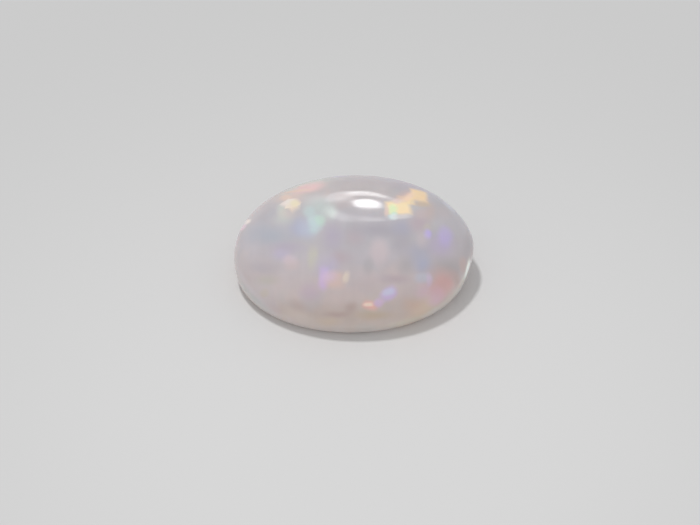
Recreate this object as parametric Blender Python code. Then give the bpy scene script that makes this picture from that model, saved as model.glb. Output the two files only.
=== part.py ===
"""Oval opal cabochon: one polished stone with a flat ground base and a domed top.

Units are metres and +Z is up. The stone rests on its flat base. The origin is
the middle of the overall outline, at the height of the base. X runs along the
stone and Y across it.
"""

import math

import bmesh
import bpy

# Overall size
STONE_LENGTH = 0.0080
STONE_WIDTH = 0.0060
STONE_HEIGHT = 0.0030

# Outline seen from above: 2 is a true ellipse, more is fuller at the corners
OUTLINE_POWER = 2.03

# Side: from the base it flares out to the girdle, the widest part
GIRDLE_HEIGHT = 0.00094
BASE_SCALE = 0.932
BASE_EDGE_BREAK = 0.00006

# Dome over the girdle: 2 is a plain ellipsoid, more has fuller shoulders
DOME_POWER = 2.28

# Hand-cut unevenness: the crown leans to the +X end, and that end is swollen
CROWN_LEAN = 0.00021
END_SWELL = 0.00012
END_SWELL_HEIGHT = 0.0016
END_SWELL_HALF_HEIGHT = 0.0008
END_SWELL_HALF_ANGLE = math.radians(17.0)

# How finely the surface is divided
SEGMENTS = 88
SIDE_RINGS = 7
DOME_RINGS = 17

# Polished milky opal
OPAL_COLOUR = (0.56, 0.52, 0.53, 1.0)
OPAL_ROUGHNESS = 0.08
OPAL_INDEX = 1.45


def clear_scene():
    """Remove whatever the open scene holds."""
    for thing in list(bpy.context.scene.objects):
        bpy.data.objects.remove(thing, do_unlink=True)


def signed_power(value, power):
    """Raise the size of a number to a power and keep its sign."""
    return math.copysign(abs(value) ** power, value)


def side_profile():
    """Give (scale of the outline, height) up the side, from the base to the girdle.

    The first two pairs are the small bevel round the base. Above it the side
    leaves the base at a slant and turns upright at the girdle: a quarter of
    an ellipse.
    """
    bevel_scale = BASE_EDGE_BREAK / (STONE_WIDTH / 2)
    pairs = [(BASE_SCALE - bevel_scale, 0.0)]
    for ring in range(SIDE_RINGS):
        turn = math.pi / 2 * ring / SIDE_RINGS
        scale = BASE_SCALE + (1.0 - BASE_SCALE) * math.sin(turn)
        rise = (GIRDLE_HEIGHT - BASE_EDGE_BREAK) * (1.0 - math.cos(turn))
        pairs.append((scale, BASE_EDGE_BREAK + rise))
    return pairs


def dome_profile():
    """Give (scale of the outline, height) over the dome, from the girdle towards the crown.

    The curve is a superellipse quarter: |scale|^p + |rise|^p = 1.
    """
    power = 2.0 / DOME_POWER
    pairs = []
    for ring in range(DOME_RINGS):
        turn = math.pi / 2 * ring / DOME_RINGS
        scale = math.cos(turn) ** power
        rise = math.sin(turn) ** power
        pairs.append((scale, GIRDLE_HEIGHT + (STONE_HEIGHT - GIRDLE_HEIGHT) * rise))
    return pairs


def outline_point(angle):
    """Give the girdle's point at an angle about Z, on a superellipse."""
    power = 2.0 / OUTLINE_POWER
    x = STONE_LENGTH / 2 * signed_power(math.cos(angle), power)
    y = STONE_WIDTH / 2 * signed_power(math.sin(angle), power)
    return x, y


def hand_cut_shift(angle, scale, height):
    """Give how far the surface stands towards +X of an even stone.

    The lean grows with the square of the height. The swelling is a bell round
    the +X end that fades out towards the crown.
    """
    lean = CROWN_LEAN * (height / STONE_HEIGHT) ** 2
    across = (angle / END_SWELL_HALF_ANGLE) ** 2
    above = ((height - END_SWELL_HEIGHT) / END_SWELL_HALF_HEIGHT) ** 2
    return lean + END_SWELL * scale ** 2 * math.exp(-across - above)


def stone_rings():
    """Give the rings of points, from the base's edge up to the last one below the crown."""
    rings = []
    for scale, height in side_profile() + dome_profile():
        ring = []
        for step in range(SEGMENTS):
            angle = math.pi * (2.0 * step / SEGMENTS - 1.0)
            x, y = outline_point(angle)
            shift = hand_cut_shift(angle, scale, height)
            ring.append((scale * x + shift, scale * y, height))
        rings.append(ring)
    return rings


def fit_length(points):
    """Centre the points along X and bring them to the overall length."""
    lowest = min(point[0] for point in points)
    highest = max(point[0] for point in points)
    middle = (lowest + highest) / 2
    stretch = STONE_LENGTH / (highest - lowest)
    return [((x - middle) * stretch, y, z) for x, y, z in points]


def opal_material():
    """Make the polished opal's finish."""
    material = bpy.data.materials.new("polished_opal")
    material.use_nodes = True
    shader = material.node_tree.nodes["Principled BSDF"]
    shader.inputs["Base Color"].default_value = OPAL_COLOUR
    shader.inputs["Roughness"].default_value = OPAL_ROUGHNESS
    shader.inputs["Metallic"].default_value = 0.0
    shader.inputs["IOR"].default_value = OPAL_INDEX
    material.diffuse_color = OPAL_COLOUR
    return material


def make_stone():
    """Build the stone as one closed mesh: base, side and dome."""
    rings = stone_rings()
    points = [point for ring in rings for point in ring]
    points.append((CROWN_LEAN, 0.0, STONE_HEIGHT))
    points = fit_length(points)

    shape = bmesh.new()
    vertices = [shape.verts.new(point) for point in points]
    crown = vertices[-1]
    for row in range(len(rings) - 1):
        for step in range(SEGMENTS):
            low = row * SEGMENTS + step
            low_next = row * SEGMENTS + (step + 1) % SEGMENTS
            quad = (low, low_next, low_next + SEGMENTS, low + SEGMENTS)
            shape.faces.new([vertices[index] for index in quad])
    last = (len(rings) - 1) * SEGMENTS
    for step in range(SEGMENTS):
        following = last + (step + 1) % SEGMENTS
        shape.faces.new((vertices[last + step], vertices[following], crown))
    shape.faces.new(list(reversed(vertices[:SEGMENTS])))

    mesh = bpy.data.meshes.new("opal")
    shape.to_mesh(mesh)
    shape.free()
    mesh.materials.append(opal_material())
    mesh.shade_smooth()
    mesh.set_sharp_from_angle(angle=math.radians(35.0))
    stone = bpy.data.objects.new("opal", mesh)
    bpy.context.scene.collection.objects.link(stone)
    return stone


clear_scene()
make_stone()
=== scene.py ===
"""Looks of an oval opal cabochon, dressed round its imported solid.

The stone is one piece of milky, translucent opal: a flat ground base, a side that flares out to the
girdle, and a domed crown with a high polish. Patches of pastel colour stand inside it. Everything is in
metres with +Z up. The finishes read the stone's own coordinates in millimetres.
"""

import logging
import math
from dataclasses import dataclass
from enum import Enum
from functools import cached_property

import bpy
import numpy as np
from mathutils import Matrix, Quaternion, Vector


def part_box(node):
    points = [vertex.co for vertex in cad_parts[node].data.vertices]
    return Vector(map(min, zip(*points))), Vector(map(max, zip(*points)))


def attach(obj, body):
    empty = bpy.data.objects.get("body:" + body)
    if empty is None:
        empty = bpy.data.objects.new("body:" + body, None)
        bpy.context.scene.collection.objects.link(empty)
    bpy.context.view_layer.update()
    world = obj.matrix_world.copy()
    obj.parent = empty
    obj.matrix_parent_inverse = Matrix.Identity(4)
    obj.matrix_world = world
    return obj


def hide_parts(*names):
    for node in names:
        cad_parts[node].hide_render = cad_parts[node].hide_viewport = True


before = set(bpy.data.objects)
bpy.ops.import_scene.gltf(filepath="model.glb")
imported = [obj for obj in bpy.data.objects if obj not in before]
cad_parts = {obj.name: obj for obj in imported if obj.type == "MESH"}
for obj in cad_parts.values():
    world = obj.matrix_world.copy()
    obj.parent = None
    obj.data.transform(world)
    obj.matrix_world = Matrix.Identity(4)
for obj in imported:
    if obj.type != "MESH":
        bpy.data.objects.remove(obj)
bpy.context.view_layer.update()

MM = 0.001
CM = 0.01
BODY = "root"
NODE = "opal"
RENDER_WIDTH = 700
RENDER_HEIGHT = 525

log = logging.getLogger("opal_cabochon")

Colour = tuple[float, float, float]
Triple = tuple[float, float, float]
Points = tuple[tuple[float, float], ...]
Socket = bpy.types.NodeSocket
Node = bpy.types.Node

ORIGIN = (0.0, 0.0, 0.0)
ACROSS = (1.0, 0.0, 0.0)
BACK = (0.0, 1.0, 0.0)
UP = (0.0, 0.0, 1.0)
MILK_WHITE = (0.75, 0.72, 0.74)
DARK = (0.0, 0.0, 0.0)
NOISE_MIDDLE = 0.5
PATCH_DEPTH = 0.6
PATCH_INPUTS = {"Under Colour": MILK_WHITE, "Place": ORIGIN, "Centre": ORIGIN, "Long Way": ACROSS,
                "Wide Way": BACK, "Deep Way": UP, "Fade": 0.95, "Strength": 1.0}


def add_object(name: str, data: bpy.types.ID) -> bpy.types.Object:
    """Make an object of a mesh, lamp or camera, and put it in the scene.

    Args:
        name: The object's name.
        data: What it shows.

    Returns:
        The object.
    """
    thing = bpy.data.objects.new(name, data)
    bpy.context.scene.collection.objects.link(thing)
    return thing


# ---------- the stone's shape


@dataclass(frozen=True)
class StoneForm:
    """The cabochon's surface, as one grid of rings from the middle of the base to the crown."""

    length: float
    width: float
    height: float
    outline_power: float = 2.03
    girdle_height: float = 0.94 * MM
    base_scale: float = 0.932
    base_edge_break: float = 0.06 * MM
    dome_power: float = 2.28
    crown_lean: float = 0.21 * MM
    end_swell: float = 0.12 * MM
    end_swell_height: float = 1.6 * MM
    end_swell_half_height: float = 0.8 * MM
    end_swell_half_angle: float = math.radians(17.0)
    segments: int = 336
    base_rings: int = 16
    base_spacing: float = 0.8
    probe_degrees: float = 0.3
    edge_rings: int = 5
    side_rings: int = 26
    dome_rings: int = 96

    def ring(self, latitude: np.ndarray) -> tuple[np.ndarray, np.ndarray]:
        """Work out the rings of the side and the dome.

        The side is a quarter ellipse from the base's edge up to the girdle, and the dome a quarter
        superellipse, |scale|^p + |rise|^p = 1.

        Args:
            latitude: Degrees up the stone, from -90 at the base's edge through 0 at the girdle to 90 at
                the crown.

        Returns:
            The scale of the outline and the height, at each latitude.
        """
        lift = np.radians(latitude)
        turn = np.clip(lift, -np.pi / 2, 0.0) + np.pi / 2
        side = self.base_scale + (1.0 - self.base_scale) * np.sin(turn)
        side_rise = (self.girdle_height - self.base_edge_break) * (1.0 - np.cos(turn)) + self.base_edge_break
        turn = np.clip(lift, 0.0, np.pi / 2)
        power = 2.0 / self.dome_power
        dome = np.cos(turn) ** power
        dome_rise = (self.height - self.girdle_height) * np.sin(turn) ** power + self.girdle_height
        return np.where(lift < 0.0, side, dome), np.where(lift < 0.0, side_rise, dome_rise)

    def profile(self) -> tuple[np.ndarray, np.ndarray, int]:
        """Work out the rings' scales and heights.

        The base is a flat disc whose edge is broken by a quarter round. The side and the dome follow.

        Returns:
            The scale of the outline at each ring, the height of each ring, and the number of rings
            that belong to the flat base.
        """
        broken = self.base_edge_break / (self.width / 2)
        flat = np.linspace(0.0, 1.0, self.base_rings + 1)[1:] ** self.base_spacing
        flat = flat * (self.base_scale - broken)
        turn = np.linspace(0.0, np.pi / 2, self.edge_rings + 1)[1:]
        edge = self.base_scale - broken * (1.0 - np.sin(turn))
        edge_rise = self.base_edge_break * (1.0 - np.cos(turn))
        side = np.linspace(-90.0, 0.0, self.side_rings + 1)[1:]
        dome = np.linspace(0.0, 90.0, self.dome_rings + 1)[1:-1]
        scale, level = self.ring(np.concatenate([side, dome]))
        scale = np.concatenate([flat, edge, scale])
        return scale, np.concatenate([np.zeros_like(flat), edge_rise, level]), len(flat)

    def place(self, angle: np.ndarray, scale: np.ndarray, level: np.ndarray) -> np.ndarray:
        """Place points by angle, scale and height.

        A ring is a superellipse, |x/a|^n + |y/b|^n = 1, times its scale. Two things shift it towards +X,
        as cut by hand: the crown's lean, which grows with the square of the height, and a bell-shaped
        swelling on the +X end.

        Args:
            angle: Angle about Z of each point, from -pi to pi.
            scale: Scale of the outline at each point.
            level: Height of each point.

        Returns:
            The points, with their coordinates along the last axis.
        """
        power = 2.0 / self.outline_power
        x = self.length / 2 * np.sign(np.cos(angle)) * np.abs(np.cos(angle)) ** power
        y = self.width / 2 * np.sign(np.sin(angle)) * np.abs(np.sin(angle)) ** power
        lean = self.crown_lean * (level / self.height) ** 2
        across = (angle / self.end_swell_half_angle) ** 2
        above = ((level - self.end_swell_height) / self.end_swell_half_height) ** 2
        shift = lean + self.end_swell * scale ** 2 * np.exp(-across - above)
        return np.stack(np.broadcast_arrays(scale * x + shift, scale * y, level), axis=-1)

    def points(self) -> tuple[np.ndarray, int]:
        """Place every point of the grid, with the middle of the base and the crown at the end.

        Returns:
            The points as rows, centred and brought to the overall length, and the number of rings of
            the flat base.
        """
        scale, level, flat_rings = self.profile()
        angle = np.linspace(-np.pi, np.pi, self.segments, endpoint=False)[None, :]
        grid = self.place(angle, scale[:, None], level[:, None]).reshape(-1, 3)
        ends = np.array([[0.0, 0.0, 0.0], [self.crown_lean, 0.0, self.height]])
        rows = np.concatenate([grid, ends])
        low, high = rows[:, 0].min(), rows[:, 0].max()
        rows[:, 0] = (rows[:, 0] - (low + high) / 2) * self.length / (high - low)
        return rows, flat_rings

    def spot(self, longitude: np.ndarray, latitude: np.ndarray) -> np.ndarray:
        """Place points of the surface by degrees round the stone and degrees up it."""
        return self.place(np.radians(longitude), *self.ring(latitude))

    def stand(self, longitude: float, latitude: float, slant: float) -> tuple[Vector, Vector, Vector, Vector]:
        """Stand a small frame on the surface.

        Args:
            longitude: Degrees round the stone.
            latitude: Degrees up the stone.
            slant: Degrees that the frame's first way is turned from round the stone towards the crown.

        Returns:
            The place in millimetres, and the frame's ways: two along the surface and one out of it.
        """
        around = longitude + self.probe_degrees * np.array([-1.0, 1.0, 0.0, 0.0])
        along = latitude + self.probe_degrees * np.array([0.0, 0.0, -1.0, 1.0])
        west, east, south, north = self.spot(around, along)
        side = Vector(east - west).normalized()
        normal = side.cross(Vector(north - south)).normalized()
        turned = Quaternion(normal, math.radians(slant)) @ side
        middle = Vector(self.spot(np.array(longitude), np.array(latitude)) / MM)
        return middle, turned, normal.cross(turned), normal

    def build(self, name: str) -> bpy.types.Object:
        """Make the stone's mesh: quads between rings, and fans at the base and the crown.

        Args:
            name: The new object's name.

        Returns:
            The stone, with material slot 0 on the polished faces and 1 on the flat base.
        """
        rows, flat_rings = self.points()
        rings = (len(rows) - 2) // self.segments
        step = np.arange(self.segments)
        after = (step + 1) % self.segments
        start = np.arange(rings - 1)[:, None] * self.segments
        quads = np.stack([start + step, start + after, start + after + self.segments,
                          start + step + self.segments], axis=-1).reshape(-1, 4)
        middle, crown = len(rows) - 2, len(rows) - 1
        last = (rings - 1) * self.segments
        under = np.stack([after, step, np.full_like(step, middle)], axis=-1)
        over = np.stack([last + step, last + after, np.full_like(step, crown)], axis=-1)
        mesh = bpy.data.meshes.new(name)
        mesh.from_pydata(rows.tolist(), [], quads.tolist() + under.tolist() + over.tolist())
        slots = np.zeros(len(mesh.polygons), dtype=np.int32)
        slots[: (flat_rings - 1) * self.segments] = 1
        slots[len(quads): len(quads) + self.segments] = 1
        mesh.polygons.foreach_set("material_index", slots)
        mesh.shade_smooth()
        mesh.update()
        return add_object(name, mesh)


# ---------- laying shader nodes


class Bench:
    """Lays nodes in one shader tree and joins them."""

    def __init__(self, tree: bpy.types.NodeTree) -> None:
        """Keep the tree to work in."""
        self.tree = tree

    def set(self, socket: Socket, value: object) -> None:
        """Join a socket to another, or give it a plain value.

        Args:
            socket: The input socket.
            value: Another socket, a number, a vector, or a colour without its alpha.
        """
        if isinstance(value, Socket):
            self.tree.links.new(value, socket)
        elif socket.type == "RGBA" and len(value) == 3:
            socket.default_value = (*value, 1.0)
        else:
            socket.default_value = value

    def lay(self, kind: str, inputs: dict[str | int, object] | None = None, **settings: object) -> Node:
        """Lay one node.

        Args:
            kind: Blender's name of the node, without "ShaderNode".
            inputs: What goes into its sockets, by name or number.
            settings: Its own settings.

        Returns:
            The node.
        """
        node = self.tree.nodes.new("ShaderNode" + kind)
        for name, value in settings.items():
            setattr(node, name, value)
        for name, value in (inputs or {}).items():
            self.set(node.inputs[name], value)
        return node

    def math(self, operation: str, *values: object, clamp: bool = False) -> Socket:
        """Lay a Math node and give its result."""
        return self.lay("Math", dict(enumerate(values)), operation=operation, use_clamp=clamp).outputs[0]

    def vector(self, operation: str, *values: object) -> Socket:
        """Lay a Vector Math node and give its vector."""
        return self.lay("VectorMath", dict(enumerate(values)), operation=operation).outputs[0]

    def dot(self, first: Socket, second: object) -> Socket:
        """Lay a dot product of two vectors and give its value."""
        return self.lay("VectorMath", {0: first, 1: second}, operation="DOT_PRODUCT").outputs["Value"]

    def scaled(self, vector: Socket, size: object) -> Socket:
        """Lay a node that scales a vector and give its result."""
        return self.lay("VectorMath", {0: vector, "Scale": size}, operation="SCALE").outputs[0]

    def smooth(self, value: Socket, low: object, high: object) -> Socket:
        """Lay a smooth step, from 0 at one value to 1 at another, and give its result."""
        ends = {"Value": value, "From Min": low, "From Max": high}
        return self.lay("MapRange", ends, interpolation_type="SMOOTHSTEP").outputs["Result"]

    def straight(self, value: Socket, start: tuple[float, float], end: tuple[float, float]) -> Socket:
        """Lay a straight line from one range to another, held at its ends, and give its result."""
        ends = {"From Min": start[0], "From Max": start[1], "To Min": end[0], "To Max": end[1]}
        return self.lay("MapRange", {"Value": value, **ends}).outputs["Result"]

    def mix(self, factor: object, first: object, second: object) -> Socket:
        """Lay a colour mix and give its result."""
        return self.lay("Mix", {0: factor, 6: first, 7: second}, data_type="RGBA").outputs[2]

    def noise(self, place: Socket, waves: float, detail: float, output: str = "Fac") -> Socket:
        """Lay a noise texture, with a number of waves a millimetre, and give one of its outputs."""
        return self.lay("TexNoise", {"Vector": place, "Scale": waves, "Detail": detail}).outputs[output]

    def ramp(self, value: Socket, stops: tuple[tuple[float, Colour], ...]) -> Socket:
        """Lay a colour ramp and give its colour.

        Args:
            value: What runs along the ramp, from 0 to 1.
            stops: Each stop's place and colour.

        Returns:
            The colour.
        """
        node = self.lay("ValToRGB", {0: value})
        elements = node.color_ramp.elements
        while len(elements) < len(stops):
            elements.new(1.0)
        for element, (place, colour) in zip(elements, stops):
            element.position = place
            element.color = (*colour, 1.0)
        return node.outputs["Color"]

    def group(self, tree: bpy.types.NodeTree, inputs: dict[str, object]) -> Node:
        """Place a shader node group, with what goes into its inputs."""
        return self.lay("Group", inputs, node_tree=tree)

    def millimetres(self) -> Socket:
        """Lay the stone's own coordinates, in millimetres."""
        return self.scaled(self.lay("TexCoord").outputs["Object"], 1.0 / MM)


class GroupBench(Bench):
    """Lays the nodes of one shader node group."""

    def __init__(self, name: str, inputs: dict[str, object], outputs: dict[str, str]) -> None:
        """Start the group.

        Args:
            name: The group's name.
            inputs: The value of each input, a number, or three of them for a vector. The name of an
                input that is a colour ends in "Colour" or "Glow".
            outputs: Each output's kind.
        """
        super().__init__(bpy.data.node_groups.new(name, "ShaderNodeTree"))
        for label, value in inputs.items():
            colour = label.endswith(("Colour", "Glow"))
            kind = "Color" if colour else "Float" if isinstance(value, float) else "Vector"
            socket = self.tree.interface.new_socket(label, in_out="INPUT", socket_type="NodeSocket" + kind)
            socket.default_value = (*value, 1.0) if colour else value
        for label, kind in outputs.items():
            self.tree.interface.new_socket(label, in_out="OUTPUT", socket_type="NodeSocket" + kind)
        self.get = self.tree.nodes.new("NodeGroupInput").outputs
        self.leave = self.tree.nodes.new("NodeGroupOutput").inputs


def start_material(name: str) -> tuple[bpy.types.Material, Bench, Node]:
    """Start a node material.

    Args:
        name: The material's name.

    Returns:
        The material, a bench to lay its nodes on, and its Principled shader.
    """
    material = bpy.data.materials.new(name)
    material.use_nodes = True
    return material, Bench(material.node_tree), material.node_tree.nodes["Principled BSDF"]


# ---------- colours in the stone


class Hue(Enum):
    """Pastel colours that stand in the opal, as linear light."""

    SMOKY_LILAC = (0.68, 0.63, 0.67)
    SLATE = (0.60, 0.62, 0.69)
    PERIWINKLE = (0.605, 0.62, 0.755)
    DUSK_VIOLET = (0.64, 0.58, 0.69)
    PALE_IRIS = (0.70, 0.64, 0.80)
    PEWTER = (0.73, 0.74, 0.73)
    PALE_SAGE = (0.77, 0.82, 0.75)
    SALMON = (0.93, 0.73, 0.67)
    ROSY_MAUVE = (0.733, 0.64, 0.65)
    SMOKE = (0.615, 0.588, 0.615)
    DUSK_ROSE = (0.67, 0.57, 0.62)
    DUSK = (0.58, 0.55, 0.61)
    DUSK_BLUE = (0.59, 0.58, 0.68)
    BROWN_ROSE = (0.73, 0.61, 0.59)
    OCHRE = (0.78, 0.65, 0.515)
    DEEP_IRIS = (0.66, 0.57, 0.80)
    PEARL = (0.80, 0.71, 0.74)
    ORCHID_LOW = (0.78, 0.66, 0.75)
    ROSY_BELLY = (0.83, 0.7, 0.70)
    RUSSET = (0.72, 0.58, 0.55)
    OCHRE_PINK = (0.86, 0.73, 0.62)
    OLIVE_SAND = (0.73, 0.69, 0.62)
    PINK_SAND = (0.84, 0.75, 0.73)
    TERRACOTTA = (0.86, 0.66, 0.56)
    APRICOT = (0.95, 0.75, 0.62)
    CORAL = (0.86, 0.61, 0.60)
    ROSE = (0.95, 0.68, 0.68)
    SALMON_WARM = (1.0, 0.76, 0.653)
    CREAM = (1.0, 0.868, 0.812)
    GOLD = (1.00, 0.83, 0.66)
    YELLOW = (1.00, 0.85, 0.58)
    AZURE = (0.69, 0.73, 0.85)
    FOAM = (0.74, 0.89, 0.9)
    MINT = (0.72, 0.91, 0.80)
    FOAM_DULL = (0.72, 0.82, 0.80)
    PALE_SAGE_LIGHT = (0.84, 0.91, 0.87)
    PINK = (0.86, 0.74, 0.80)
    LIME = (0.78, 0.77, 0.64)
    IRIS_BRIGHT = (0.813, 0.673, 0.993)
    VIOLET = (0.89, 0.7, 1)
    STRAW_DULL = (0.82, 0.74, 0.64)
    STRAW = (0.967, 0.857, 0.753)
    IRIS = (0.70, 0.6, 1.00)
    SEA = (0.76, 0.76, 0.85)
    ORCHID = (0.74, 0.61, 0.80)
    CORAL_BRIGHT = (0.96, 0.63, 0.62)
    MAGENTA = (1, 0.65, 0.75)
    PINK_BRIGHT = (0.98, 0.72, 0.84)
    RUST = (0.79, 0.65, 0.63)
    LAVENDER = (0.76, 0.76, 1)
    VIOLET_TAIL = (0.99, 0.75, 1)
    SCARLET = (1.00, 0.62, 0.56)
    AMBER = (1.00, 0.78, 0.49)
    AMBER_DEEP = (1, 0.73, 0.47)
    ROSE_BROWN = (0.78, 0.61, 0.59)
    LEAF = (0.80, 1.00, 0.66)
    EMBER = (0.95, 0.77, 0.69)
    AQUA = (0.86, 1, 1)
    CREAM_LILAC = (0.96, 0.92, 0.92)
    SHELL = (0.87, 0.81, 0.85)
    SHELL_PINK = (0.88, 0.77, 0.72)
    PEARL_WHITE = (0.82, 0.80, 0.81)
    # Painted light: the colour of the lit lip at the stone's lower edge.
    PAINTED_LIGHT_LIP = (1.0, 0.94, 0.87)
    # Painted light: the colour of the pale green edge where light leaves the stone.
    PAINTED_LIGHT_GREEN = (0.93, 1.0, 0.93)
    PEACH = (1, 0.79, 0.73)
    EMBER_ROSE = (1, 0.72, 0.56)
    ORCHID_PINK = (0.91, 0.75, 0.94)


class Edge(Enum):
    """How a flash's edge looks: how square its outline is, how wide it fades, and if cells step it."""

    HAZE = (0.0, 0.95, False)
    SOFT = (0.2, 0.60, False)
    CRISP = (0.7, 0.40, True)
    BLOCK = (0.8, 0.34, False)


@dataclass(frozen=True)
class Patch:
    """A patch of colour in the stone.

    Longitude runs round the stone in degrees, from the +X end at 0. Latitude runs up it, from -90 at the
    base's edge through 0 at the girdle to 90 at the crown. A slant of 0 lies round the stone and 90 up it.
    Half sizes are in millimetres.
    """

    name: str
    longitude: float
    latitude: float
    long: float
    wide: float
    slant: float
    hue: Hue
    strength: float

    def stand(self, form: StoneForm) -> dict[str, object]:
        """Stand the patch in the stone.

        Args:
            form: The stone's shape.

        Returns:
            Its middle, and its three ways, each divided by the patch's half size along it.
        """
        middle, *ways = form.stand(self.longitude, self.latitude, self.slant)
        halves = (self.long, self.wide, PATCH_DEPTH + self.long / 2)
        long_way, wide_way, deep_way = (way / half for way, half in zip(ways, halves))
        return {"Centre": middle, "Long Way": long_way, "Wide Way": wide_way, "Deep Way": deep_way,
                "Strength": self.strength}


@dataclass(frozen=True)
class Veil(Patch):
    """A soft veil of one colour."""

    fade: float = 0.95


@dataclass(frozen=True)
class Flash(Patch):
    """A flash of fire. It may have a painted glow, and its hue may change from end to end."""

    # Share of the near hue given as painted glow.
    painted_glow: float = 0.0
    edge: Edge = Edge.SOFT
    far_hue: Hue | None = None


VEILS = (
    Veil("smoky cheek", -147, 24, 0.56, 0.16, 30, Hue.SMOKY_LILAC, 0.8),
    Veil("slate shoulder", -166, 44, 0.69, 0.30, 44, Hue.SLATE, 0.95),
    Veil("periwinkle shoulder", -159, 61, 0.37, 0.28, -2, Hue.PERIWINKLE, 0.95),
    Veil("violet cheek", -146, 46, 0.46, 0.18, 31, Hue.DUSK_VIOLET, 0.7),
    Veil("iris cheek", -144, 40, 0.29, 0.17, 25, Hue.PALE_IRIS, 0.7),
    Veil("pale shoulder", -179, 54, 0.31, 0.21, 49, Hue.PEWTER, 0.8),
    Veil("pale sage", 168, 52, 0.35, 0.13, 21, Hue.PALE_SAGE, 0.7),
    Veil("shell shoulder", 174, 56, 0.28, 0.19, 59, Hue.SHELL_PINK, 0.5),
    Veil("salmon veil", 146, 50, 0.48, 0.31, -87, Hue.SALMON, 0.75),
    Veil("pearl crown", 148, 70, 0.49, 0.29, -65, Hue.PEARL_WHITE, 0.8),
    Veil("smoky top", 52, 59, 0.41, 0.29, -75, Hue.SMOKE, 0.9),
    Veil("smoky rim", 24, 38, 1.32, 0.34, -68, Hue.SMOKE, 0.95),
    Veil("plum crown", -122, 67, 0.45, 0.29, -61, Hue.DUSK_VIOLET, 0.8),
    Veil("rosy crown", -97, 70, 0.30, 0.27, -83, Hue.DUSK_ROSE, 0.6),
    Veil("dusky band", -61, 73, 0.72, 0.26, -22, Hue.DUSK, 0.9),
    Veil("slate crown", -36, 68, 0.31, 0.25, 30, Hue.DUSK_BLUE, 0.9),
    Veil("smoky crown", -53, 60, 0.34, 0.25, 55, Hue.DUSK, 0.6),
    Veil("smoky middle", -60, 42, 0.31, 0.27, 58, Hue.SMOKE, 0.8),
    Veil("dusky rose", -15, 62, 0.37, 0.30, -5, Hue.DUSK_ROSE, 0.9),
    Veil("pink step", 1, 62, 0.28, 0.21, -42, Hue.ROSY_MAUVE, 0.8, 0.6),
    Veil("brown step", 8, 56, 0.44, 0.17, -19, Hue.BROWN_ROSE, 0.7),
    Veil("olive step", 18, 59, 0.26, 0.14, 88, Hue.OCHRE, 0.8, 0.6),
    Veil("umber end", -7, 22, 0.52, 0.28, 0, Hue.SMOKE, 0.7),
    Veil("mauve shoulder", 13, 45, 0.44, 0.26, -43, Hue.ROSY_MAUVE, 0.4),
    Veil("shell low left", -150, -12, 0.70, 0.22, -20, Hue.SHELL, 0.7),
    Veil("violet right", -27, 42, 0.45, 0.34, -17, Hue.DEEP_IRIS, 0.6),
    Veil("slate right", -47, 48, 0.36, 0.28, -8, Hue.DUSK_BLUE, 0.7),
    Veil("blue right", -50, 37, 0.31, 0.30, 45, Hue.PERIWINKLE, 0.9),
    Veil("smoky side", -36, 23, 0.47, 0.28, -40, Hue.SMOKE, 0.9),
    Veil("pearl cloud", -75, 57, 0.43, 0.30, 76, Hue.PEARL, 0.85, 0.6),
    Veil("plum bar", -85, 46, 0.26, 0.17, 81, Hue.SMOKE, 0.6, 0.6),
    Veil("plum middle", -104, 53, 0.28, 0.22, 10, Hue.DUSK_ROSE, 0.7),
    Veil("mauve middle", -86, 31, 0.39, 0.30, 3, Hue.ROSY_MAUVE, 0.5),
    Veil("brown middle", -70, 32, 0.41, 0.13, -13, Hue.DUSK_ROSE, 0.7),
    Veil("orchid low", -114, 20, 0.30, 0.25, 20, Hue.ORCHID_LOW, 0.8),
    Veil("belly edge", -99, 2, 0.36, 0.12, 7, Hue.RUSSET, 0.9),
    Veil("belly corner", -93, 9, 0.18, 0.15, 37, Hue.RUSSET, 0.8),
    Veil("ochre foot", -103, -18, 0.33, 0.19, 16, Hue.OCHRE_PINK, 0.8),
    Veil("russet foot", -82, 1, 0.46, 0.17, -8, Hue.OCHRE, 0.8),
    Veil("russet low", -119, 4, 0.26, 0.23, 4, Hue.BROWN_ROSE, 0.6),
    Veil("olive low", -140, 16, 0.37, 0.14, 27, Hue.OLIVE_SAND, 0.7),
    Veil("pale cheek", -141, 1, 0.66, 0.39, 32, Hue.SHELL, 0.55),
    Veil("shell foot", -117, -16, 0.47, 0.23, -7, Hue.SHELL_PINK, 0.8),
    Veil("pink side", -52, 8, 0.46, 0.29, -49, Hue.PINK_BRIGHT, 0.8),
    Veil("orange side", -61, 2, 0.42, 0.24, -38, Hue.TERRACOTTA, 0.75),
    Veil("apricot foot", -56, -26, 1.09, 0.41, 44, Hue.APRICOT, 0.9),
    Veil("coral side", -41, 10, 0.60, 0.36, -51, Hue.CORAL, 1),
    Veil("brown side", -31, 3, 0.33, 0.15, -73, Hue.RUSSET, 0.7),
    # Painted light: a pale lit lip along the lower side, for light that passes through the stone and leaves
    # it there.
    Veil("painted light lip high", -22, -9, 0.44, 0.20, 50, Hue.PAINTED_LIGHT_LIP, 1),
    Veil("painted light lip", -31, -26, 0.44, 0.18, 22, Hue.CREAM, 0.95),
    Veil("painted light lip low", -46, -42, 0.60, 0.16, 6, Hue.CREAM, 0.9),
    Veil("painted light lip foot", -66, -45, 0.60, 0.16, 0, Hue.STRAW, 0.7),
    Veil("grey lip", -149, -28, 0.75, 0.20, -12, Hue.PEWTER, 0.8),
    Veil("far slate", 40, 22, 1.30, 0.80, 10, Hue.SLATE, 0.8),
    Veil("far violet", 62, 36, 1.00, 0.70, -20, Hue.DUSK_VIOLET, 0.8),
    Veil("far shell", 95, 15, 1.50, 0.60, 0, Hue.SHELL_PINK, 0.6),
    Veil("far sage", 120, 38, 0.90, 0.70, 15, Hue.PALE_SAGE, 0.8),
    Veil("far rose veil", 150, 18, 1.00, 0.70, -15, Hue.ROSY_BELLY, 0.7),
    Veil("far smoke", 84, 50, 1.10, 0.50, 0, Hue.SMOKY_LILAC, 0.7),
)

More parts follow.
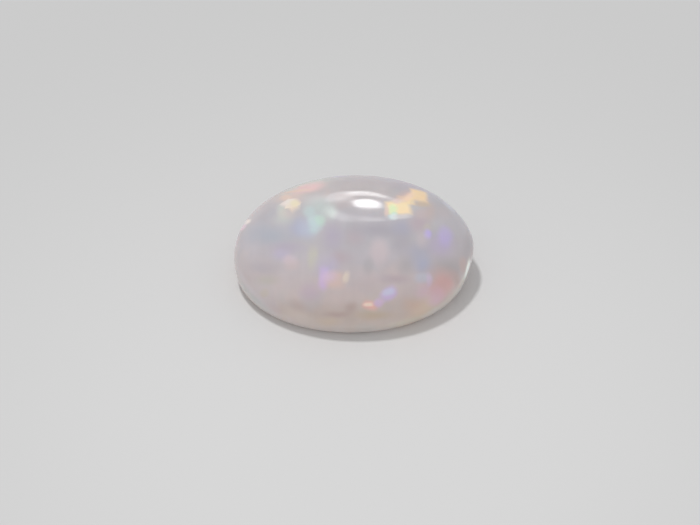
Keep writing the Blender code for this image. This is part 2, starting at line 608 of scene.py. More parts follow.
FLASHES = (
    Flash("rose streak", 129, 52, 0.50, 0.40, -33, Hue.ROSE, 1, 0.06),
    Flash("salmon tip", 137, 48, 0.53, 0.09, -56, Hue.SALMON_WARM, 0.8),
    Flash("salmon dot", 148, 48, 0.29, 0.14, 68, Hue.SALMON_WARM, 0.7),
    Flash("gold spot", 160, 56, 0.37, 0.20, 61, Hue.CREAM, 1, 0.1, Edge.CRISP, Hue.GOLD),
    Flash("gold core", 159, 58, 0.21, 0.12, 53, Hue.YELLOW, 0.6, 0.08),
    Flash("blue shadow", -155, 64, 0.40, 0.25, -24, Hue.AZURE, 0.8, 0, Edge.HAZE),
    Flash("foam", -159, 69, 0.36, 0.20, -15, Hue.FOAM, 0.95, 0.02),
    Flash("mint", -159, 72, 0.23, 0.16, -23, Hue.MINT, 0.85, 0.02),
    Flash("foam foot", -147, 65, 0.16, 0.14, -22, Hue.FOAM, 0.5, 0, Edge.HAZE),
    Flash("foam veil", 169, 72, 0.42, 0.35, 40, Hue.FOAM_DULL, 0.7, 0, Edge.HAZE),
    Flash("pale green", -176, 78, 0.30, 0.20, -10, Hue.PALE_SAGE_LIGHT, 0.85, 0, Edge.HAZE),
    Flash("blue mist", 176, 68, 0.24, 0.17, 11, Hue.FOAM, 0.6),
    Flash("pink spot", -136, 40, 0.24, 0.14, 22, Hue.PINK, 0.8),
    Flash("peach spot", -132, 38, 0.25, 0.16, 25, Hue.ROSY_BELLY, 0.6),
    Flash("lime streak", -123, 48, 0.38, 0.17, -66, Hue.LIME, 0.62),
    Flash("violet veil", -111, 44, 0.33, 0.32, 15, Hue.PALE_IRIS, 0.85, 0, Edge.HAZE),
    Flash("violet core", -111, 38, 0.23, 0.15, -82, Hue.IRIS_BRIGHT, 0.7),
    Flash("violet foot", -109, 31, 0.26, 0.17, 89, Hue.VIOLET, 0.8),
    Flash("peach field", -103, 34, 0.31, 0.27, 10, Hue.SALMON, 0.85),
    Flash("magenta veil", -107, 36, 0.22, 0.17, 16, Hue.ORCHID_PINK, 0.75, 0, Edge.HAZE),
    Flash("straw spot", -97, 37, 0.17, 0.10, 80, Hue.STRAW, 0.8, 0.02),
    Flash("straw low", -139, 4, 0.21, 0.13, 52, Hue.STRAW_DULL, 0.7),
    Flash("olive dot", -18, 57, 0.16, 0.11, 4, Hue.OLIVE_SAND, 0.6),
    Flash("iris dot", -26, 54, 0.18, 0.12, 26, Hue.IRIS, 0.9, 0.02),
    Flash("iris right", -17, 43, 0.36, 0.25, 6, Hue.IRIS, 0.6),
    Flash("pearl dot", -34, 54, 0.26, 0.18, 37, Hue.PEARL, 0.6, 0, Edge.HAZE),
    Flash("sea spot", -54, 26, 0.29, 0.15, -18, Hue.SEA, 0.95),
    Flash("violet nick", -51, 22, 0.20, 0.11, 77, Hue.ORCHID_PINK, 0.7),
    Flash("coral core", -43, 8, 0.47, 0.26, -49, Hue.CORAL_BRIGHT, 0.7),
    Flash("magenta side", -47, 2, 0.44, 0.25, -61, Hue.MAGENTA, 0.8),
    Flash("pink foot", -50, -2, 0.30, 0.20, -43, Hue.PINK_BRIGHT, 0.5),
    Flash("rust edge", -23, 12, 0.25, 0.20, -76, Hue.RUST, 0.85),
    # Painted light: a pale green edge at the girdle, for light that leaves the stone there, in colour and
    # glow.
    Flash("painted light green edge", -18, 2, 0.32, 0.16, 58, Hue.PAINTED_LIGHT_GREEN, 1, 0.2),
    Flash("violet streak", -75, 20, 0.27, 0.20, 26, Hue.IRIS_BRIGHT, 1, 0.05),
    Flash("lavender core", -75, 22, 0.19, 0.11, 8, Hue.LAVENDER, 1, 0.1),
    Flash("scarlet spot", -84, 11, 0.24, 0.17, -24, Hue.SCARLET, 1, 0.11),
    Flash("scarlet core", -85, 12, 0.15, 0.08, -4, Hue.SALMON_WARM, 0.9, 0.25),
    Flash("violet tail", -80, 13, 0.16, 0.14, -30, Hue.VIOLET_TAIL, 1),
    Flash("amber low", 9, 74, 0.30, 0.40, -4, Hue.AMBER, 1, 0.26, Edge.BLOCK),
    Flash("amber bridge", 27, 67, 0.23, 0.29, -27, Hue.AMBER, 0.9, 0.16, Edge.BLOCK),
    Flash("peach step", 27, 72, 0.20, 0.12, -84, Hue.PEACH, 0.9, 0.08),
    Flash("amber high", 34, 55, 0.39, 0.29, -42, Hue.AMBER_DEEP, 1, 0.14, Edge.BLOCK),
    Flash("ember top", 34, 64, 0.35, 0.15, -75, Hue.EMBER_ROSE, 0.9, 0.16),
    Flash("amber shadow", 39, 66, 0.41, 0.12, -80, Hue.ROSE_BROWN, 0.7, 0, Edge.HAZE),
    Flash("leaf corner", 3, 77, 0.24, 0.15, -13, Hue.LEAF, 0.9, 0.12),
    Flash("green corner", -8, 76, 0.10, 0.07, -59, Hue.MINT, 0.8, 0.08),
    Flash("ember edge", -5, 80, 0.22, 0.07, 4, Hue.EMBER, 0.9, 0.04),
    Flash("cyan corner", -19, 76, 0.16, 0.13, -44, Hue.AQUA, 1, 0.08),
    Flash("pale step", -12, 72, 0.27, 0.11, -59, Hue.CREAM_LILAC, 0.8),
    Flash("far gold", 47, 27, 0.42, 0.22, 20, Hue.CREAM, 0.95, 0.08, Edge.CRISP, Hue.GOLD),
    Flash("far gold core", 49, 28, 0.20, 0.13, 20, Hue.YELLOW, 0.6, 0.08),
    Flash("far azure", 64, 10, 0.42, 0.32, 0, Hue.AZURE, 0.7, 0, Edge.HAZE),
    Flash("far mint", 72, 20, 0.36, 0.28, 10, Hue.MINT, 0.85, 0.02),
    Flash("far foam", 79, 28, 0.42, 0.30, -25, Hue.FOAM, 0.9, 0.02),
    Flash("far lime", 89, 6, 0.18, 0.42, 10, Hue.LIME, 0.7),
    Flash("far iris", 100, 32, 0.30, 0.45, 10, Hue.IRIS, 0.7, 0.02),
    Flash("far violet", 112, 17, 0.45, 0.20, 35, Hue.IRIS_BRIGHT, 0.9, 0.05),
    Flash("far scarlet", 122, 5, 0.30, 0.15, -12, Hue.SCARLET, 0.9, 0.06),
    Flash("far coral", 130, 18, 0.42, 0.28, -10, Hue.CORAL_BRIGHT, 0.85, 0.04),
    Flash("far rose", 139, 22, 0.42, 0.18, 20, Hue.ROSE, 0.9, 0.05),
    Flash("far amber", 150, 8, 0.36, 0.22, 10, Hue.AMBER_DEEP, 0.9, 0.08, Edge.CRISP),
    Flash("far sea", 24, 34, 0.35, 0.20, 0, Hue.SEA, 0.8),
    Flash("far straw", 30, 8, 0.16, 0.30, 0, Hue.STRAW, 0.85, 0.02),
    Flash("far orchid", 12, 14, 0.30, 0.24, 20, Hue.ORCHID_PINK, 0.8),
    Flash("far pink", 172, 8, 0.30, 0.22, 0, Hue.PINK, 0.8),
    # A painted glint at the left edge, in colour and glow.
    Flash("painted left glint", 165, 22, 0.26, 0.11, 58, Hue.CREAM, 0.9, 0.14),
    Flash("painted left glint foot", 168, 18, 0.24, 0.12, 58, Hue.PINK_BRIGHT, 0.9, 0.06),
)


@dataclass(frozen=True)
class StoneColours:
    """The shader groups that the stone's finishes share, each built once, when it is first asked for.

    Waves are given by their number in a millimetre, and other sizes in millimetres.
    """

    # The body's ramp runs from warm and lighter at the front's foot to cool and darker at the back and crown:
    # partly the opal's own tint, partly painted light that passes through the stone.
    body: tuple[tuple[float, Colour], ...] = (
        (0.04, (0.80, 0.69, 0.64)), (0.12, (0.82, 0.72, 0.69)), (0.20, (0.83, 0.73, 0.72)),
        (0.30, (0.78, 0.70, 0.71)), (0.40, (0.74, 0.68, 0.70)), (0.50, (0.71, 0.67, 0.71)),
        (0.60, (0.67, 0.645, 0.685)), (0.76, (0.67, 0.645, 0.685)), (0.88, (0.70, 0.65, 0.66)),
    )
    warm_tint_and_light_way: Triple = (0.0, 0.6, 1.0)
    warm_tint_and_light_range: tuple[float, float] = (-1.0, 4.0)
    # Painted light: the paler rim near the base stands in for light that leaves the stone at its foot.
    rim: Colour = (0.88, 0.77, 0.73)
    painted_light_rim_top: float = 0.85
    painted_light_rim_foot: float = 0.05
    # Painted glow at the foot: faint emission for light that leaves the stone there; the stone is no lamp.
    glow: tuple[tuple[float, Colour], ...] = (
        (0.00, (0.04, 0.034, 0.032)), (0.08, (0.02, 0.017, 0.016)), (0.20, (0.0, 0.0, 0.0)),
    )
    height: float = 3.0
    cloud_waves: float = 0.9
    column_waves: Triple = (2.2, 0.5, 0.4)
    wander_waves: float = 1.6
    hue_turn: float = 0.8
    mosaic_border: float = 0.28
    polish_waves: float = 0.8
    line_waves: Triple = (1.5, 22.0, 6.0)
    line_share: float = 0.4
    rub_range: tuple[float, float] = (0.35, 0.65)
    mosaic_hues: tuple[Hue, ...] = (
        Hue.PALE_IRIS, Hue.SLATE, Hue.SEA, Hue.PEWTER, Hue.LIME, Hue.PINK_SAND, Hue.SALMON, Hue.ROSY_BELLY,
        Hue.ORCHID,
    )

    def reach(self, bench: GroupBench) -> tuple[list[Socket], Socket]:
        """Lay how far a place lies from a patch's middle, in half sizes.

        Along each of the patch's ways it is a dot product. In all it is the length of the three together.

        Args:
            bench: A group with the inputs Place, Centre, Long Way, Wide Way and Deep Way.

        Returns:
            How far it lies along each way, and how far in all.
        """
        offset = bench.vector("SUBTRACT", bench.get["Place"], bench.get["Centre"])
        ways = [bench.dot(offset, bench.get[way]) for way in ("Long Way", "Wide Way", "Deep Way")]
        square = bench.math("MULTIPLY", ways[0], ways[0])
        for way in ways[1:]:
            square = bench.math("MULTIPLY_ADD", way, way, square)
        return ways, bench.math("SQRT", square)

    def cover(self, bench: GroupBench, reach: Socket) -> Socket:
        """Lay a patch's cover.

        It falls smoothly from full to none across the patch's edge, which is as wide to either side of 1
        as the patch's fade, and is then multiplied by its strength.

        Args:
            bench: A group with the inputs Fade and Strength.
            reach: How far a place lies from the patch's middle, in half sizes.

        Returns:
            The cover, from 0 to 1.
        """
        outside = bench.math("ADD", 1.0, bench.get["Fade"])
        inside = bench.math("SUBTRACT", 1.0, bench.get["Fade"])
        return bench.math("MULTIPLY", bench.smooth(reach, outside, inside), bench.get["Strength"])

    @cached_property
    def veil(self) -> bpy.types.NodeTree:
        """Build the group that lays a soft, ellipsoidal veil of one colour over what is under it.

        Returns:
            The group.
        """
        bench = GroupBench("colour veil", {**PATCH_INPUTS, "Veil Colour": MILK_WHITE}, {"Colour": "Color"})
        get = bench.get
        cover = self.cover(bench, self.reach(bench)[1])
        bench.set(bench.leave["Colour"], bench.mix(cover, get["Under Colour"], get["Veil Colour"]))
        return bench.tree

    @cached_property
    def flash(self) -> bpy.types.NodeTree:
        """Build the group that lays one flash of colour over what is under it.

        The flash is an ellipsoid, or a box where it is square. Its hue runs from one colour to the other
        along it, and it may have a painted glow, emission that stands in for the flash's light.

        Returns:
            The group.
        """
        bench = GroupBench("colour flash", {
            **PATCH_INPUTS, "Square": 0.0, "Tone": 1.0, "Near Colour": MILK_WHITE, "Far Colour": MILK_WHITE,
            "Under Glow": DARK, "Own Glow": DARK,
        }, {"Colour": "Color", "Glow": "Color"})
        get = bench.get
        ways, ball = self.reach(bench)
        across, up, deep = [bench.math("ABSOLUTE", way) for way in ways]
        box = bench.math("MAXIMUM", bench.math("MAXIMUM", across, up), deep)
        reach = bench.lay("Mix", {0: get["Square"], 2: ball, 3: box}).outputs[0]
        cover = bench.math("MULTIPLY", self.cover(bench, reach), get["Tone"], clamp=True)
        along = bench.smooth(ways[0], -self.hue_turn, self.hue_turn)
        hue = bench.mix(along, get["Near Colour"], get["Far Colour"])
        bench.set(bench.leave["Colour"], bench.mix(cover, get["Under Colour"], hue))
        # Painted glow: the flash's emission stands in for its light.
        bench.set(bench.leave["Glow"], bench.mix(cover, get["Under Glow"], get["Own Glow"]))
        return bench.tree

    @cached_property
    def domains(self) -> bpy.types.NodeTree:
        """Build the group that breaks a place into small domains.

        The place is pushed about by noise, then pulled part of the way to the middle of its cell, so that
        a patch read from it has stepped, irregular edges. Each cell has a tone of its own.

        Returns:
            The group.
        """
        bench = GroupBench("fire domains", {
            "Place": ORIGIN, "Cell": 0.45, "Wander": 0.15, "Pull": 0.3, "Uneven": 0.2,
        }, {"Stepped": "Vector", "Wandered": "Vector", "Tone": "Float"})
        get = bench.get
        push = bench.noise(get["Place"], self.wander_waves, detail=3.0, output="Color")
        push = bench.vector("SUBTRACT", push, (NOISE_MIDDLE,) * 3)
        wandered = bench.vector("ADD", get["Place"], bench.scaled(push, get["Wander"]))
        cells = bench.lay("TexVoronoi", {"Vector": wandered, "Scale": bench.math("DIVIDE", 1.0, get["Cell"])})
        middle = bench.scaled(cells.outputs["Position"], get["Pull"])
        rest = bench.scaled(wandered, bench.math("SUBTRACT", 1.0, get["Pull"]))
        bench.set(bench.leave["Stepped"], bench.vector("ADD", middle, rest))
        bench.set(bench.leave["Wandered"], wandered)
        shade = bench.lay("SeparateColor", {0: cells.outputs["Color"]}).outputs["Green"]
        shade = bench.math("MULTIPLY", shade, get["Uneven"])
        bench.set(bench.leave["Tone"], bench.math("SUBTRACT", 1.0, shade))
        return bench.tree

    @cached_property
    def mosaic(self) -> bpy.types.NodeTree:
        """Build the group that spreads a faint mosaic of pastel cells over what is under it.

        Each cell takes a hue by chance. Its cover is full in its middle and falls to none at its border.

        Returns:
            The group.
        """
        bench = GroupBench("pastel mosaic", {
            "Under Colour": MILK_WHITE, "Place": ORIGIN, "Cell": 0.8, "Strength": 0.3, "Bare": 0.3,
        }, {"Colour": "Color"})
        get = bench.get
        scale = bench.math("DIVIDE", 1.0, get["Cell"])
        cells = bench.lay("TexVoronoi", {"Vector": get["Place"], "Scale": scale})
        rim = bench.lay("TexVoronoi", {"Vector": get["Place"], "Scale": scale}, feature="DISTANCE_TO_EDGE")
        chance = bench.lay("SeparateColor", {0: cells.outputs["Color"]}).outputs
        last = len(self.mosaic_hues) - 1
        stops = tuple((index / last, hue.value) for index, hue in enumerate(self.mosaic_hues))
        cover = bench.smooth(chance[1], get["Bare"], 1.0)
        for share in (bench.smooth(rim.outputs["Distance"], 0.0, self.mosaic_border), get["Strength"]):
            cover = bench.math("MULTIPLY", cover, share)
        bench.set(bench.leave["Colour"], bench.mix(cover, get["Under Colour"], bench.ramp(chance[0], stops)))
        return bench.tree

    @cached_property
    def milk(self) -> bpy.types.NodeTree:
        """Build the group that colours the milky body.

        The body is cool and darker at the back and the crown, and warm and lighter at the front's foot:
        partly the opal's own tint, partly painted light that passes through the stone from behind. Its
        rim is painted paler near the base, with a faint painted glow, for light that leaves the stone at
        its foot. Clouds and upright columns vary it faintly.

        Returns:
            The group.
        """
        bench = GroupBench("milky body", {"Place": ORIGIN, "Cloud": 0.16, "Column": 0.12},
                           {"Colour": "Color", "Glow": "Color"})
        get = bench.get
        level = bench.lay("SeparateXYZ", {0: get["Place"]}).outputs["Z"]
        # Partly painted light: the tint runs along the way that light passes through the stone.
        way = bench.straight(bench.dot(get["Place"], self.warm_tint_and_light_way), self.warm_tint_and_light_range, (0.0, 1.0))
        milk = bench.ramp(way, self.body)
        # Painted light: paler towards the base.
        milk = bench.mix(bench.smooth(level, self.painted_light_rim_top, self.painted_light_rim_foot), milk, self.rim)
        cloud = bench.noise(get["Place"], self.cloud_waves, detail=4.0)
        cloud = bench.math("SUBTRACT", cloud, NOISE_MIDDLE)
        drawn = bench.vector("MULTIPLY", get["Place"], self.column_waves)
        column = bench.math("SUBTRACT", bench.noise(drawn, 1.0, detail=3.0), NOISE_MIDDLE)
        lift = bench.math("MULTIPLY_ADD", cloud, get["Cloud"], bench.math("MULTIPLY", column, get["Column"]))
        shaded = bench.lay("HueSaturation", {"Color": milk, "Value": bench.math("ADD", 1.0, lift)})
        bench.set(bench.leave["Colour"], shaded.outputs[0])
        # Painted glow: faint emission near the base.
        bench.set(bench.leave["Glow"], bench.ramp(bench.math("DIVIDE", level, self.height), self.glow))
        return bench.tree

    @cached_property
    def marks(self) -> bpy.types.NodeTree:
        """Build the group for what grinding and polishing leave on the surface.

        The height is a slow wave plus fine lines drawn out along the stone. The rub, from 0 to 1, tells
        how dull the surface is: broad smears, and the lines.

        Returns:
            The group.
        """
        bench = GroupBench("surface marks", {"Place": ORIGIN, "Wave": 1.0, "Lines": 0.0},
                           {"Height": "Float", "Rub": "Float"})
        get = bench.get
        wave = bench.noise(get["Place"], self.polish_waves, detail=1.0)
        lines = bench.noise(bench.vector("MULTIPLY", get["Place"], self.line_waves), 1.0, detail=2.0)
        height = bench.math("MULTIPLY", wave, get["Wave"])
        bench.set(bench.leave["Height"], bench.math("MULTIPLY_ADD", lines, get["Lines"], height))
        smear = bench.math("MULTIPLY", wave, 1.0 - self.line_share)
        rub = bench.math("MULTIPLY_ADD", lines, self.line_share, smear)
        bench.set(bench.leave["Rub"], bench.smooth(rub, *self.rub_range))
        return bench.tree


@dataclass(frozen=True)
class OpalFinish:
    """A finish of the stone: a milky body with painted glow that scatters light, under a surface of its own.

    Each mosaic is given by the size of its cells in millimetres and its strength.
    """

    name: str
    roughness: tuple[float, float]
    relief: float
    wave: float
    lines: float
    pits: float = 0.0
    pit_cells: float = 7.0
    pit_chance: tuple[float, float] = (0.7, 0.8)
    pit_edge: tuple[float, float] = (0.3, 0.08)
    clear: float = 0.0
    mosaics: tuple[tuple[float, float], ...] = ((0.9, 0.25),)
    veils: tuple[Veil, ...] = ()
    flashes: tuple[Flash, ...] = ()
    index: float = 1.45
    scatter: float = 0.85
    scatter_radius: Triple = (1.0, 0.85, 0.8)
    scatter_scale: float = 0.9 * MM

    def body(self, bench: Bench, colours: StoneColours, form: StoneForm,
             place: Socket) -> tuple[Socket, Socket]:
        """Lay the body: milk, then the mosaics, the veils and the flashes over it.

        Args:
            bench: Where the nodes are laid.
            colours: The shader groups.
            form: The stone's shape, which places the patches.
            place: The stone's own coordinates in millimetres.

        Returns:
            The colour and the painted glow.
        """
        domains = bench.group(colours.domains, {"Place": place}).outputs
        wandered = domains["Wandered"]
        milk = bench.group(colours.milk, {"Place": wandered}).outputs
        # The glow is painted glow: emission for light leaving the stone at its foot and for the flashes'
        # light.
        colour, glow = milk["Colour"], milk["Glow"]
        for cell, strength in self.mosaics:
            inputs = {"Under Colour": colour, "Place": wandered, "Cell": cell, "Strength": strength}
            colour = bench.group(colours.mosaic, inputs).outputs["Colour"]
        for veil in self.veils:
            inputs = {"Under Colour": colour, "Place": wandered, "Fade": veil.fade,
                      "Veil Colour": veil.hue.value, **veil.stand(form)}
            laid = bench.group(colours.veil, inputs)
            laid.label = veil.name
            colour = laid.outputs["Colour"]
        for flash in self.flashes:
            square, fade, stepped = flash.edge.value
            near, far = flash.hue.value, (flash.far_hue or flash.hue).value
            # Own Glow is the flash's painted glow, its near hue scaled down.
            inputs = {"Under Colour": colour, "Under Glow": glow,
                      "Place": domains["Stepped"] if stepped else wandered, "Tone": domains["Tone"],
                      "Square": square, "Fade": fade, "Near Colour": near, "Far Colour": far,
                      "Own Glow": tuple(part * flash.painted_glow for part in near), **flash.stand(form)}
            laid = bench.group(colours.flash, inputs)
            laid.label = flash.name
            colour, glow = laid.outputs["Colour"], laid.outputs["Glow"]
        return colour, glow

    def pitted(self, bench: Bench, place: Socket, height: Socket) -> Socket:
        """Lay small pits in a height: a pit is the middle of a small cell, in one cell of a few.

        Args:
            bench: Where the nodes are laid.
            place: The stone's own coordinates in millimetres.
            height: The height without them.

        Returns:
            The height with them.
        """
        cells = bench.lay("TexVoronoi", {"Vector": place, "Scale": self.pit_cells}).outputs
        chance = bench.lay("SeparateColor", {0: cells["Color"]}).outputs["Red"]
        chosen = bench.smooth(chance, *self.pit_chance)
        pit = bench.math("MULTIPLY", bench.smooth(cells["Distance"], *self.pit_edge), chosen)
        return bench.math("SUBTRACT", height, bench.math("MULTIPLY", pit, self.pits))

    def make(self, form: StoneForm, colours: StoneColours) -> bpy.types.Material:
        """Make the material.

        Args:
            form: The stone's shape, which places the patches.
            colours: The shader groups.

        Returns:
            The finished material.
        """
        material, bench, shader = start_material(self.name)
        place = bench.millimetres()
        colour, glow = self.body(bench, colours, form, place)
        bench.set(shader.inputs["Base Color"], colour)
        # Painted glow: the stone is no lamp, and its emission stands in for light.
        bench.set(shader.inputs["Emission Color"], glow)
        marks = bench.group(colours.marks, {"Place": place, "Wave": self.wave, "Lines": self.lines}).outputs
        height = self.pitted(bench, place, marks["Height"]) if self.pits else marks["Height"]
        bench.set(shader.inputs["Roughness"], bench.straight(marks["Rub"], (0.0, 1.0), self.roughness))
        bump = bench.lay("Bump", {"Height": height, "Distance": self.relief})
        bench.set(shader.inputs["Normal"], bump.outputs["Normal"])
        plain = {"Emission Strength": 1.0, "IOR": self.index, "Subsurface Weight": self.scatter,
                 "Subsurface Radius": self.scatter_radius, "Subsurface Scale": self.scatter_scale,
                 "Transmission Weight": self.clear}
        for label, value in plain.items():
            bench.set(shader.inputs[label], value)
        return material


POLISHED_CROWN = OpalFinish(name="polished_opal", roughness=(0.035, 0.07), relief=0.0015 * MM, wave=1.0,
                            lines=0.04, clear=0.12, veils=VEILS, flashes=FLASHES)
GROUND_BASE = OpalFinish(name="ground_base", roughness=(0.30, 0.56), relief=0.012 * MM, wave=0.4, lines=0.8,
                         pits=1.2, mosaics=((0.9, 0.6), (0.35, 0.3)))


# ---------- the studio


@dataclass(frozen=True)
class GlowPanel:
    """A soft-edged glowing panel between two curved edges.

    Each edge is given by four points across and up the lamp's face, in centimetres. The panel is seen
    only as its mirror image in the polish.
    """

    name: str
    far: Points
    near: Points
    strength: float
    fade: float = 0.3
    steps: int = 25

    def edge(self, points: Points) -> np.ndarray:
        """Place points, at even steps from 0 to 1, along the cubic through an edge's four points."""
        cubic = np.polyfit(np.linspace(0.0, 1.0, len(points)), np.array(points), len(points) - 1)
        return np.vander(np.linspace(0.0, 1.0, self.steps), len(points)) @ cubic

    def soften(self) -> np.ndarray:
        """Work out the brightness over the panel, the product of two smooth steps up from its edges.

        Returns:
            The brightness of each point, from 0 to 1, in rows from the far edge to the near one.
        """
        inward = np.linspace(0.0, 1.0, self.steps)
        rise = np.clip(np.minimum(inward, 1.0 - inward) / self.fade, 0.0, 1.0)
        rise = rise * rise * (3.0 - 2.0 * rise)
        return rise[:, None] * rise[None, :]

    def finish(self) -> bpy.types.Material:
        """Make the glow, which adds to what is behind the panel.

        Returns:
            The material.
        """
        material, bench, _ = start_material(self.name)
        material.node_tree.nodes.clear()
        glow = bench.lay("Attribute", attribute_name="glow").outputs["Fac"]
        light = bench.lay("Emission", {"Strength": bench.math("MULTIPLY", glow, self.strength)})
        clear = bench.lay("BsdfTransparent")
        both = bench.lay("AddShader", {0: light.outputs[0], 1: clear.outputs[0]})
        bench.lay("OutputMaterial", {"Surface": both.outputs[0]})
        return material

    def build(self, middle: Vector, right: Vector, up: Vector) -> None:
        """Make the panel's mesh and hang it.

        Args:
            middle: The middle of the lamp's face.
            right: The direction across its face.
            up: The direction up its face.
        """
        blend = np.linspace(0.0, 1.0, self.steps)[:, None, None]
        flat = ((1.0 - blend) * self.edge(self.far) + blend * self.edge(self.near)) * CM
        rows = np.array(middle) + flat[..., :1] * np.array(right) + flat[..., 1:] * np.array(up)
        start = (np.arange(self.steps - 1)[:, None] * self.steps + np.arange(self.steps - 1)).reshape(-1)
        quads = np.stack([start, start + 1, start + self.steps + 1, start + self.steps], axis=-1)
        mesh = bpy.data.meshes.new(self.name)
        mesh.from_pydata(rows.reshape(-1, 3).tolist(), [], quads.tolist())
        mesh.attributes.new("glow", "FLOAT", "POINT").data.foreach_set("value", self.soften().reshape(-1))
        mesh.materials.append(self.finish())
        panel = add_object(self.name, mesh)
        panel.visible_camera = False
        panel.visible_diffuse = False
        panel.visible_transmission = False
        panel.visible_shadow = False


@dataclass(frozen=True)
class BowlLamp:
    """An oval bowl lamp behind the stone: a bulb, the lit lip of its bowl, and the glow inside it."""

    azimuth: float = math.radians(4.0)
    elevation: float = math.radians(38.0)
    distance: float = 0.4
    layer: float = 0.001
    panels: tuple[GlowPanel, ...] = (
        GlowPanel("bulb", ((-2.9, -0.7), (-1.2, -2.8), (0.7, -3.2), (3.2, 0.9)),
                  ((-2.7, 0.1), (-1.3, 3.9), (0.4, 4.2), (4.2, 2.7)), 14.0),
        GlowPanel("near_lip", ((-4.9, -10.4), (-2.4, -10.9), (0.6, -10.2), (8.2, -3.9)),
                  ((-4.7, -4.7), (-2.1, -4.0), (0.8, -4.4), (8.6, -1.2)), 6.0, 0.35),
        GlowPanel("near_wing", ((-7.8, -6.2), (-6.3, -10.4), (-4.6, -11.8), (-2.0, -10.6)),
                  ((-7.8, -1.5), (-5.5, -0.4), (-3.7, -0.6), (-1.8, -1.6)), 2.3),
        GlowPanel("bulb_halo", ((-5.6, -5.0), (-4.2, -6.2), (-2.8, -5.6), (-1.4, -4.6)),
                  ((-5.4, 0.8), (-4.2, 1.2), (-3.0, 1.2), (-1.6, 0.6)), 1.2),
        GlowPanel("far_lip_left", ((-7.4, -0.1), (-5.2, 2.2), (-3.2, 4.8), (-0.5, 6.6)),
                  ((-7.6, 6.6), (-5.6, 10.2), (-3.6, 11.8), (-0.5, 12.3)), 2.5),
        GlowPanel("far_lip_right", ((-2.5, 6.3), (0.1, 7.2), (2.8, 7.9), (6.4, 6.3)),
                  ((-2.5, 11.7), (0.5, 11.7), (3.1, 11.1), (7.0, 9.6)), 2.6),
        GlowPanel("inner_glow", ((-5.0, -6.0), (-1.6, -8.0), (1.8, -7.0), (6.6, -3.0)),
                  ((-4.0, 0.6), (-1.2, 6.6), (1.4, 7.0), (6.2, 5.0)), 0.5),
    )

    def build(self) -> None:
        """Hang the panels, each a little behind the one before."""
        across, rise = math.cos(self.elevation), math.sin(self.elevation)
        toward = Vector((math.sin(self.azimuth) * across, math.cos(self.azimuth) * across, rise))
        right = Vector((math.cos(self.azimuth), -math.sin(self.azimuth), 0.0))
        for order, panel in enumerate(self.panels):
            panel.build(toward * (self.distance + order * self.layer), right, right.cross(toward))


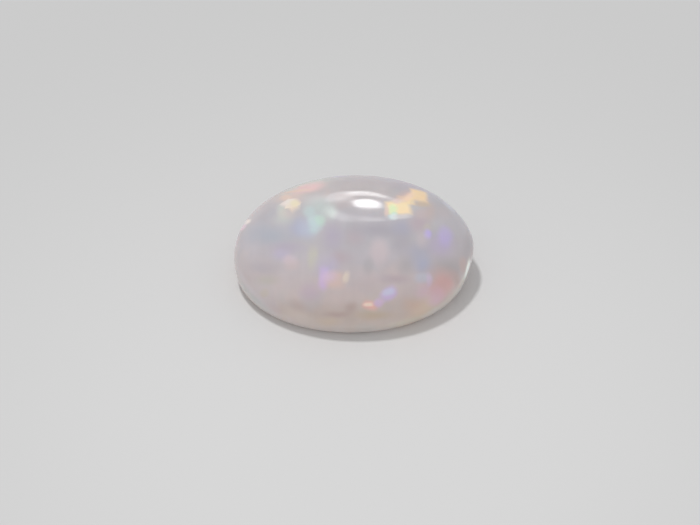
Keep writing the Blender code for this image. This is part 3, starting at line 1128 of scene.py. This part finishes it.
@dataclass(frozen=True)
class Studio:
    """Camera, floor and soft light round the stone."""

    lens: float = 300.0
    sensor: float = 36.0
    clip: tuple[float, float] = (0.01, 10.0)
    pixels_per_mm: float = 29.83
    elevation: float = math.radians(44.0)
    turn: float = 0.023
    stone_pixel: tuple[float, float] = (353.9, 274.7)
    floor_side: float = 1.6
    floor_roughness: float = 0.8
    floor_colour: Colour = (0.80, 0.80, 0.80)
    floor_painted_shade: Colour = (0.70, 0.70, 0.70)
    painted_light_pool: Triple = (0.0, -8.0, 0.0)
    floor_fade: tuple[float, float] = (4.0, 24.0)
    world_strength: float = 0.54
    key_way: Triple = (-0.19, 0.165, 1.0)
    key_power: float = 1.15
    key_distance: float = 0.6
    key_size: float = 0.06

    def camera(self) -> None:
        """Stand the camera in front of the stone, above it and a little to its left."""
        toward = Vector((-math.sin(self.turn) * math.cos(self.elevation),
                         -math.cos(self.turn) * math.cos(self.elevation), math.sin(self.elevation)))
        right = Vector((math.cos(self.turn), -math.sin(self.turn), 0.0))
        up = toward.cross(right)
        distance = self.lens / self.sensor * RENDER_WIDTH / self.pixels_per_mm * MM
        aside = (self.stone_pixel[0] - RENDER_WIDTH / 2) / self.pixels_per_mm * MM
        below = (self.stone_pixel[1] - RENDER_HEIGHT / 2) / self.pixels_per_mm * MM
        data = bpy.data.cameras.new("camera")
        data.lens = self.lens
        data.sensor_width = self.sensor
        data.clip_start, data.clip_end = self.clip
        camera = add_object("camera", data)
        camera.location = up * below - right * aside + toward * distance
        camera.rotation_euler = (-toward).to_track_quat("-Z", "Y").to_euler()
        bpy.context.scene.camera = camera

    def floor(self) -> None:
        """Lay the plain pale floor under the stone, painted a little darker away from a pool of light."""
        half = self.floor_side / 2
        mesh = bpy.data.meshes.new("floor")
        corners = [(-half, -half, 0.0), (half, -half, 0.0), (half, half, 0.0), (-half, half, 0.0)]
        mesh.from_pydata(corners, [], [(0, 1, 2, 3)])
        material, bench, shader = start_material("floor")
        away = bench.lay("VectorMath", {0: bench.millimetres(), 1: self.painted_light_pool}, operation="DISTANCE")
        # Painted shade: the floor darkens away from a painted pool of light.
        fade = bench.smooth(away.outputs["Value"], *self.floor_fade)
        bench.set(shader.inputs["Base Color"], bench.mix(fade, self.floor_colour, self.floor_painted_shade))
        bench.set(shader.inputs["Roughness"], self.floor_roughness)
        bench.set(shader.inputs["Specular IOR Level"], 0.0)
        mesh.materials.append(material)
        floor = add_object("floor", mesh)

    def world(self) -> None:
        """Light everything evenly from a pale sky."""
        world = bpy.data.worlds.new("sky")
        world.use_nodes = True
        sky = world.node_tree.nodes["Background"].inputs
        sky["Color"].default_value = (1.0, 1.0, 1.0, 1.0)
        sky["Strength"].default_value = self.world_strength
        bpy.context.scene.world = world

    def key(self) -> None:
        """Hang the soft key lamp overhead, behind the stone and to its left."""
        toward = Vector(self.key_way).normalized()
        data = bpy.data.lights.new("key", "AREA")
        data.shape = "DISK"
        data.size = self.key_size
        data.energy = self.key_power
        lamp = add_object("key", data)
        lamp.location = toward * self.key_distance
        lamp.rotation_euler = toward.to_track_quat("Z", "Y").to_euler()
        lamp.visible_glossy = False
        lamp.visible_transmission = False

    def build(self) -> None:
        """Set the camera, the floor and the lights."""
        bpy.context.scene.view_settings.view_transform = "Standard"
        self.camera()
        self.floor()
        self.world()
        self.key()
        BowlLamp().build()


@dataclass(frozen=True)
class Cabochon:
    """The stone: its form in its place, polished over the crown and the side, and ground on the base."""

    name: str = "opal_stone"
    crown: OpalFinish = POLISHED_CROWN
    base: OpalFinish = GROUND_BASE

    def build(self) -> bpy.types.Object:
        """Build the stone, dress it, and join it to the body that carries it.

        Returns:
            The stone.
        """
        low, high = (Vector(corner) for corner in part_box(NODE))
        form = StoneForm(length=high.x - low.x, width=high.y - low.y, height=high.z - low.z)
        stone = form.build(self.name)
        colours = StoneColours()
        for finish in (self.crown, self.base):
            stone.data.materials.append(finish.make(form, colours))
        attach(stone, BODY)
        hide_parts(NODE)
        return stone


def main() -> None:
    """Build the studio and the stone, and report each piece."""
    logging.basicConfig(level=logging.INFO, format="%(name)s: %(message)s")
    Studio().build()
    log.info("studio: camera, floor, sky, key lamp and bowl lamp")
    stone = Cabochon().build()
    log.info("%s: %d faces", stone.name, len(stone.data.polygons))


if __name__ == "__main__":
    main()
